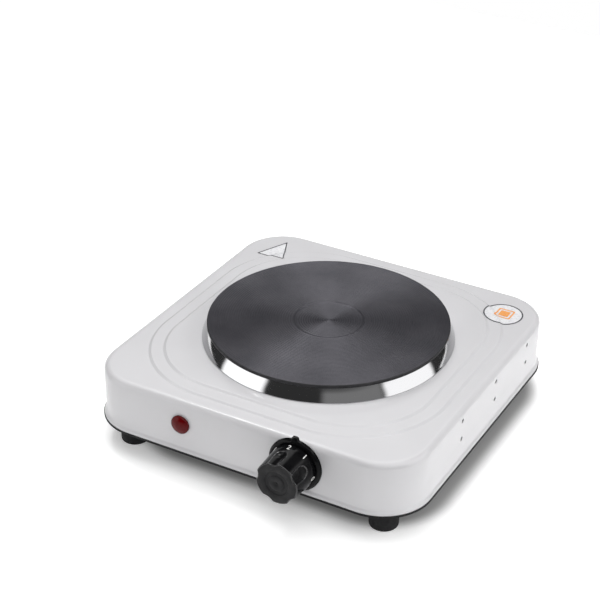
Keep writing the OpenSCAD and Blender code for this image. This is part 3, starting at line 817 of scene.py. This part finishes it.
def dial_bezel():
    r = (BEZEL_HIGH.x - BEZEL_LOW.x) / 2
    t = FRONT_Y - BEZEL_LOW.y
    tab_r, tab_half = BEZEL_HIGH.z - KNOB_AXIS.y, 2.0 * MM
    bevel_w, bevel_h = 1.3 * MM, 1.0 * MM
    hole_r = 7 * MM
    steps = 360

    def circle(radius, z):
        return [(radius * math.cos(2 * math.pi * i / steps), radius * math.sin(2 * math.pi * i / steps), z)
                for i in range(steps)]

    def outline(shrink, z, tab=1.0):
        loop = []
        for x, y, _ in circle(r - shrink, z):
            if y > 0:
                y += (tab_r - r) * tab * (1 - smooth((abs(x) / tab_half - 0.8) / 0.4))
            loop.append((x, y, z))
        return loop

    loops = [circle(hole_r, 0), outline(0, 0), outline(0, t - bevel_h - 0.15 * MM),
             outline(0.06 * MM, t - bevel_h), outline(0.2 * MM, t - bevel_h + 0.12 * MM, 0.95),
             outline(bevel_w - 0.2 * MM, t - 0.12 * MM, 0.6), outline(bevel_w, t - 0.02 * MM, 0.4),
             outline(bevel_w + 0.3 * MM, t, 0.1), circle(r - 3 * MM, t), circle(hole_r, t)]
    bm = bmesh.new()
    loft(bm, loops, close=True)
    bm.transform(frontwards(KNOB_AXIS, FRONT_Y))
    obj = to_object("dial_surround", bm, KNOB_GLOSS)
    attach(obj, "body")
    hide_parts("dial_bezel")


def pilot_lens():
    r = LENS_HIGH.x - LENS_AXIS.x
    dome = FRONT_Y - LENS_LOW.y
    brim = 1.6 * MM
    rise = dome - brim
    ball = (r * r + rise * rise) / (2 * rise)
    outside = [(r - 0.15 * MM, 0), (r, 0.15 * MM), (r, brim - 0.3 * MM), (r - 0.1 * MM, brim)]
    limit = math.degrees(math.asin((r - 0.5 * MM) / ball))
    cap = arc(0, dome - ball, ball, 90 - limit, 90, 14)
    outside += cap[:-1] + [(0, dome)]
    top = 0.6 * MM
    bore, barrel, depth = 4.0 * MM, 4.9 * MM, 8 * MM
    inside = [(0, top), (bore * 0.7, top - 0.2 * MM), (bore, top - 0.9 * MM)]
    neck = [(bore, -depth), (barrel, -depth), (barrel, 0)]
    obj = lathe("pilot_dome", inside + neck + outside, RED_LENS, steps=96, closed=False,
                place=frontwards(LENS_AXIS, FRONT_Y), sharp=50)
    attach(obj, "body")
    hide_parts("pilot_lens")


# ---------- feet and gland ----------


def foot(node):
    low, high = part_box(node)
    centre = (low + high) / 2
    r, h = (high.x - low.x) / 2, high.z
    tip, round_r = r - 0.2 * MM, 1.5 * MM
    wide, narrow, depth = 4.4 * MM, 2.2 * MM, 5 * MM
    profile = [(narrow, h), (narrow, depth), (wide, depth), (wide, 0.4 * MM), (wide + 0.4 * MM, 0)]
    profile += arc(tip - round_r, round_r, round_r, -90, 0, 8)
    for t in (0.3, 0.6, 0.9):
        profile.append((tip + (r - tip) * t, round_r + (h - round_r) * t))
    profile += [(r, h - 0.2 * MM), (r - 0.2 * MM, h)]
    place = Matrix.Translation((centre.x, centre.y, 0))
    obj = lathe(node + "_moulded", profile, RUBBER, steps=72, place=place, sharp=40)
    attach(obj, "body")
    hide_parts(node)


def cord_gland():
    out = GLAND_HIGH.y - REAR_Y
    inside = REAR_Y - GLAND_LOW.y
    bore, neck, flange = 3.7 * MM, 6.0 * MM, (GLAND_HIGH.x - GLAND_LOW.x) / 2
    profile = [(bore, -inside), (neck - 0.4 * MM, -inside), (neck, -inside + 0.4 * MM), (neck, 0),
               (flange, 0)]
    profile += arc(flange - 0.8 * MM, 1.6 * MM, 0.8 * MM, 0, 90, 5)
    ribs = 3
    length = out - 2.4 * MM
    for i in range(ribs):
        z = 2.4 * MM + length * i / ribs
        r = 7.0 * MM - 1.0 * MM * i / ribs
        profile += [(r - 0.5 * MM, z + 0.1 * MM), (r - 0.5 * MM, z + 0.45 * MM), (r, z + 0.7 * MM),
                    (r - 0.05 * MM, z + length / ribs - 0.2 * MM)]
    profile += [(bore + 0.9 * MM, out), (bore + 0.3 * MM, out), (bore, out - 0.4 * MM)]
    obj = lathe("inlet_gland", profile, NYLON, steps=80, place=rearwards(GLAND_AXIS, REAR_Y), sharp=40)
    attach(obj, "body")
    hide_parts("cord_gland")


# ---------- labels ----------

FILM_T = 0.12 * MM
INK_T = 0.05 * MM


def lay_on_top(bm, loops, base, thickness, slot, fill=False):
    """Lays a flat band between plan loops on the stepped top, base above it."""
    def lifted(loop, extra):
        return [(x, y, top_height(x, y) + base + extra) for x, y in loop]

    rows = [lifted(loops[0], 0)] + [lifted(loop, thickness) for loop in loops] + [lifted(loops[-1], 0)]
    bands = len(rows) - 1
    if fill:
        rows.pop()
        bands -= 1
    rings = loft(bm, rows, close=not fill, slots=[slot] * (bands + 1))
    if fill:
        x = sum(p[0] for p in loops[-1]) / len(loops[-1])
        y = sum(p[1] for p in loops[-1]) / len(loops[-1])
        tip = bm.verts.new((x, y, top_height(x, y) + base + thickness))
        last = rings[-1]
        for i in range(len(last)):
            face = bm.faces.new((last[i], last[(i + 1) % len(last)], tip))
            face.material_index = slot


def circle_loop(centre, r, steps=120):
    return [(centre.x + r * math.cos(2 * math.pi * i / steps),
             centre.y + r * math.sin(2 * math.pi * i / steps))
            for i in range(steps)]


def triangle_loop(corners, inset, r, steps=6, side=24):
    """Triangle moved inwards by inset, its corners rounded by r."""
    centre = sum(corners, Vector((0, 0))) / 3
    sides = []
    for i in range(3):
        a, b = corners[i], corners[(i + 1) % 3]
        along = (b - a).normalized()
        normal = Vector((-along.y, along.x))
        if (centre - a).dot(normal) < 0:
            normal = -normal
        sides.append((a, along, normal))
    moved = []
    for i in range(3):
        (a, u, n), (b, v, m) = sides[i - 1], sides[i]
        p, q = a + n * (inset + r), b + m * (inset + r)
        cross = u.x * v.y - u.y * v.x
        t = ((q - p).x * v.y - (q - p).y * v.x) / cross
        moved.append((p + u * t, n, m))
    points = []
    for i in range(3):
        c, n, m = moved[i]
        for k in range(steps + 1):
            w = (-n).slerp(-m, k / steps) if k not in (0, steps) else (-n if k == 0 else -m)
            points.append(c + w * r)
        d = moved[(i + 1) % 3][0] - m * r
        last = points[-1].copy()
        points += [last.lerp(d, k / side) for k in range(1, side)]
    return [(p.x, p.y) for p in points]


def round_label():
    low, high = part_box("label_round")
    centre = ((low + high) / 2).xy
    r = (high.x - low.x) / 2
    bm = bmesh.new()
    shares = (1, 0.96, 0.9, 0.82, 0.72, 0.6, 0.48, 0.36, 0.24, 0.12)
    rings = [circle_loop(centre, r * share) for share in shares]
    lay_on_top(bm, rings, 0.02 * MM, FILM_T, 0, fill=True)
    lift = 0.05 * MM + FILM_T
    lay_on_top(bm, [circle_loop(centre, r * share) for share in (0.995, 0.96, 0.925)], lift, INK_T, 1)
    mark = centre + Vector((0.4 * MM, 1.2 * MM))
    lay_on_top(bm, [square_loop(mark, 5.7 * MM, 1.4 * MM), square_loop(mark, 4.6 * MM, 0.8 * MM)],
               lift, INK_T, 2)
    lay_on_top(bm, [square_loop(mark, 3.4 * MM, 0.9 * MM), square_loop(mark, 1.5 * MM, 0.4 * MM),
                    square_loop(mark, 0.5 * MM, 0.2 * MM)], lift, INK_T, 2, fill=True)
    obj = to_object("round_sticker", bm, [FILM, INK_BLACK, INK_ORANGE])
    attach(obj, "body")
    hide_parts("label_round")


def triangle_label():
    low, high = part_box("label_triangle")
    corners = [Vector((low.x, low.y)), Vector((high.x, low.y)), Vector(((low.x + high.x) / 2, high.y))]
    bm = bmesh.new()
    rings = [triangle_loop(corners, inset * MM, 0.4 * MM) for inset in (0, 0.3, 0.6, 0.9, 1.2, 2, 3, 4, 5)]
    lay_on_top(bm, rings, 0.02 * MM, FILM_T, 0, fill=True)
    lift = 0.05 * MM + FILM_T
    lay_on_top(bm, [triangle_loop(corners, inset * MM, 0.3 * MM) for inset in (0.1, 0.5, 0.9)],
               lift, INK_T, 1)
    obj = to_object("triangle_sticker", bm, [FILM, INK_BLACK])
    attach(obj, "body")
    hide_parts("label_triangle")


# ---------- floor, light and camera ----------

AMBIENT = 0.04
# name, azimuth from +X, half width, lowest and highest elevation, softness (degrees), radiance
PATCHES = (
    ("zenith", 0, 180, 66, 90, 5, 2.1),
    ("high_117", 117, 22, 36, 66, 5, 2.6),
    ("high_297", 297, 22, 36, 66, 5, 1.8),
    ("high_342", 342, 22, 36, 66, 5, 2.0),
    ("high_27", 27, 22, 36, 66, 5, 0.6),
    ("left_panel", 220, 22, -2, 24, 3, 1.7),
    ("right_panel", 13.5, 25, -2, 24, 3, 1.5),
    ("right_mid", 20, 30, 27, 40, 3, 2.9),
    ("front_grey", 320, 26, 4, 27, 4, 0.22),
)
# painted shadow and painted glow on the table around the object: distances from its rounded footprint's
# corner centres
PAINTED_SHADOW_CENTRE = (7 * MM, 14.5 * MM)
PAINTED_SHADOW_CORNER = 60 * MM
PAINTED_SHADOW_EDGE = 41 * MM, 54 * MM         # from the painted dark shadow in the middle to the bright table
PAINTED_GLOW_FADE = 65 * MM, 220 * MM


def floor():
    """White light table with a painted shadow: its colour is dark under the object, and its glow is dim under
    it and brightest just around it.
    """
    f = Finish("floor", (0.95, 0.95, 0.95), 0.8, Specular_IOR_Level=0.1, Emission_Color=(1, 1, 1, 1))
    f.gloss(f.noise(3, 4), 0.75, 0.85)

    def vector_node(kind, source, *constant):
        node = f.nodes.new("ShaderNodeVectorMath")
        node.operation = kind
        f.links.new(source, node.inputs[0])
        if constant:
            node.inputs[1].default_value = constant
        return node.outputs["Value" if kind == "LENGTH" else "Vector"]

    def ramp(source, start, end, low, high):
        node = f.nodes.new("ShaderNodeMapRange")
        node.interpolation_type = "SMOOTHSTEP"
        for key, number in (("From Min", start), ("From Max", end), ("To Min", low), ("To Max", high)):
            node.inputs[key].default_value = number
        f.links.new(source, node.inputs["Value"])
        return node.outputs["Result"]

    away = vector_node("SUBTRACT", f.place, *PAINTED_SHADOW_CENTRE, 0)
    away = vector_node("SUBTRACT", vector_node("ABSOLUTE", away), PAINTED_SHADOW_CORNER, PAINTED_SHADOW_CORNER, 1)
    distance = vector_node("LENGTH", vector_node("MAXIMUM", away, 0, 0, 0))
    # painted shadow: the table's colour goes from dark grey at the footprint to white away from it
    f.tint(ramp(distance, *PAINTED_SHADOW_EDGE, 0, 1), (0.35, 0.35, 0.35), (0.95, 0.95, 0.95), 0, 1)
    # painted glow: emission low under the object, highest just around it, fading farther out
    painted_glow = f.nodes.new("ShaderNodeMath")
    painted_glow.operation = "MULTIPLY"
    f.links.new(ramp(distance, *PAINTED_SHADOW_EDGE, 0.08, 0.35), painted_glow.inputs[0])
    f.links.new(ramp(distance, *PAINTED_GLOW_FADE, 1, 0), painted_glow.inputs[1])
    f.links.new(painted_glow.outputs["Value"], f.shader.inputs["Emission Strength"])
    bm = bmesh.new()
    half = 0.75
    bmesh.ops.create_grid(bm, x_segments=4, y_segments=4, size=half)
    obj = to_object("studio_floor", bm, f.material)


def studio_light():
    """A studio: soft patches of light on a dim surround, and white behind the object for the camera."""
    world = bpy.data.worlds.new("studio")
    bpy.context.scene.world = world
    world.use_nodes = True
    nodes, links = world.node_tree.nodes, world.node_tree.links
    background = nodes["Background"]
    place = nodes.new("ShaderNodeTexCoord").outputs["Generated"]
    split = nodes.new("ShaderNodeSeparateXYZ")
    links.new(place, split.inputs["Vector"])
    x, y, z = (split.outputs[axis] for axis in "XYZ")

    def math_node(kind, a, b=None, name=""):
        node = nodes.new("ShaderNodeMath")
        node.operation = kind
        node.name = name
        for socket, value in zip(node.inputs, (a, b)):
            if isinstance(value, (int, float)):
                socket.default_value = value
            elif value is not None:
                links.new(value, socket)
        return node.outputs["Value"]

    def ramp(value, low, high, start=0.0, end=1.0):
        node = nodes.new("ShaderNodeMapRange")
        node.interpolation_type = "SMOOTHSTEP"
        for key, number in (("From Min", low), ("From Max", high), ("To Min", start), ("To Max", end)):
            node.inputs[key].default_value = number
        links.new(value, node.inputs["Value"])
        return node.outputs["Result"]

    flat = math_node("SQRT", math_node("ADD", math_node("MULTIPLY", x, x), math_node("MULTIPLY", y, y)))
    total = AMBIENT
    for name, azimuth, half_width, low, high, soft, power in PATCHES:
        below = math.sin(math.radians(low - soft)), math.sin(math.radians(low + soft))
        above = math.sin(math.radians(high - soft)), math.sin(math.radians(min(high + soft, 90)))
        patch = ramp(z, *below)
        if high < 90:
            patch = math_node("MULTIPLY", patch, ramp(z, *above, 1.0, 0.0))
        if half_width < 180:
            a = math.radians(azimuth)
            toward = math_node("ADD", math_node("MULTIPLY", x, math.cos(a)),
                               math_node("MULTIPLY", y, math.sin(a)))
            facing = math_node("DIVIDE", toward, math_node("MAXIMUM", flat, 0.001))
            rim = math.cos(math.radians(half_width + soft)), math.cos(math.radians(half_width - soft))
            patch = math_node("MULTIPLY", patch, ramp(facing, *rim))
        total = math_node("ADD", total, math_node("MULTIPLY", patch, power, "power_" + name))
    seen = nodes.new("ShaderNodeLightPath").outputs["Is Camera Ray"]
    hidden = math_node("MULTIPLY", total, math_node("SUBTRACT", 1.0, seen))
    links.new(math_node("ADD", hidden, seen), background.inputs["Strength"])
    background.inputs["Color"].default_value = (1, 1, 1, 1)


def lamp(name, azimuth, elevation, distance, size, watts):
    """Soft square lamp that looks at the plate; azimuth is counted from +X."""
    data = bpy.data.lights.new(name, "AREA")
    data.shape = "SQUARE"
    data.size = size
    data.energy = watts
    obj = bpy.data.objects.new(name, data)
    a, e = math.radians(azimuth), math.radians(elevation)
    aim = Vector((PLATE_AXIS.x, PLATE_AXIS.y, BORDER_Z))
    away = Vector((math.cos(a) * math.cos(e), math.sin(a) * math.cos(e), math.sin(e)))
    obj.location = aim + away * distance
    obj.rotation_euler = away.to_track_quat("Z", "Y").to_euler()
    obj.visible_camera = False
    bpy.context.scene.collection.objects.link(obj)


def camera():
    """Camera at the photograph's place: right of the front, looking down."""
    azimuth, elevation, roll = math.radians(27.26), math.radians(31.97), math.radians(1.58)
    distance = 1.0127
    focal_px, frame_px = 1574.26, 600
    sensor = 36.0
    target = Vector((PLATE_AXIS.x + 11.6 * MM, PLATE_AXIS.y + 3.37 * MM, BORDER_Z - 11 * MM))
    back = Vector((math.sin(azimuth) * math.cos(elevation), -math.cos(azimuth) * math.cos(elevation),
                   math.sin(elevation)))
    right = Vector((0, 0, 1)).cross(back).normalized()
    up = back.cross(right)
    right_rolled = right * math.cos(roll) + up * math.sin(roll)
    up_rolled = up * math.cos(roll) - right * math.sin(roll)
    data = bpy.data.cameras.new("camera")
    data.sensor_width = sensor
    data.lens = focal_px * sensor / frame_px
    data.shift_x = -0.0778
    data.shift_y = 0.0892
    data.clip_start, data.clip_end = 0.05, 50
    obj = bpy.data.objects.new("camera", data)
    turn = Matrix((right_rolled, up_rolled, back)).transposed().to_4x4()
    obj.matrix_world = Matrix.Translation(target + back * distance) @ turn
    bpy.context.scene.collection.objects.link(obj)
    bpy.context.scene.camera = obj


camera()
finish_cad_nodes()
housing()
cast_plate()
trim_ring()
knob()
dial_numbers()
dial_bezel()
pilot_lens()
for foot_node in ("foot_front_left", "foot_front_right", "foot_rear_left", "foot_rear_right"):
    foot(foot_node)
cord_gland()
round_label()
triangle_label()
floor()
studio_light()
lamp("side", azimuth=185, elevation=50, distance=1.3, size=0.4, watts=0.9)
lamp("back_left", azimuth=165, elevation=63, distance=1.3, size=0.15, watts=2.5)
bpy.context.scene.view_settings.view_transform = "Standard"
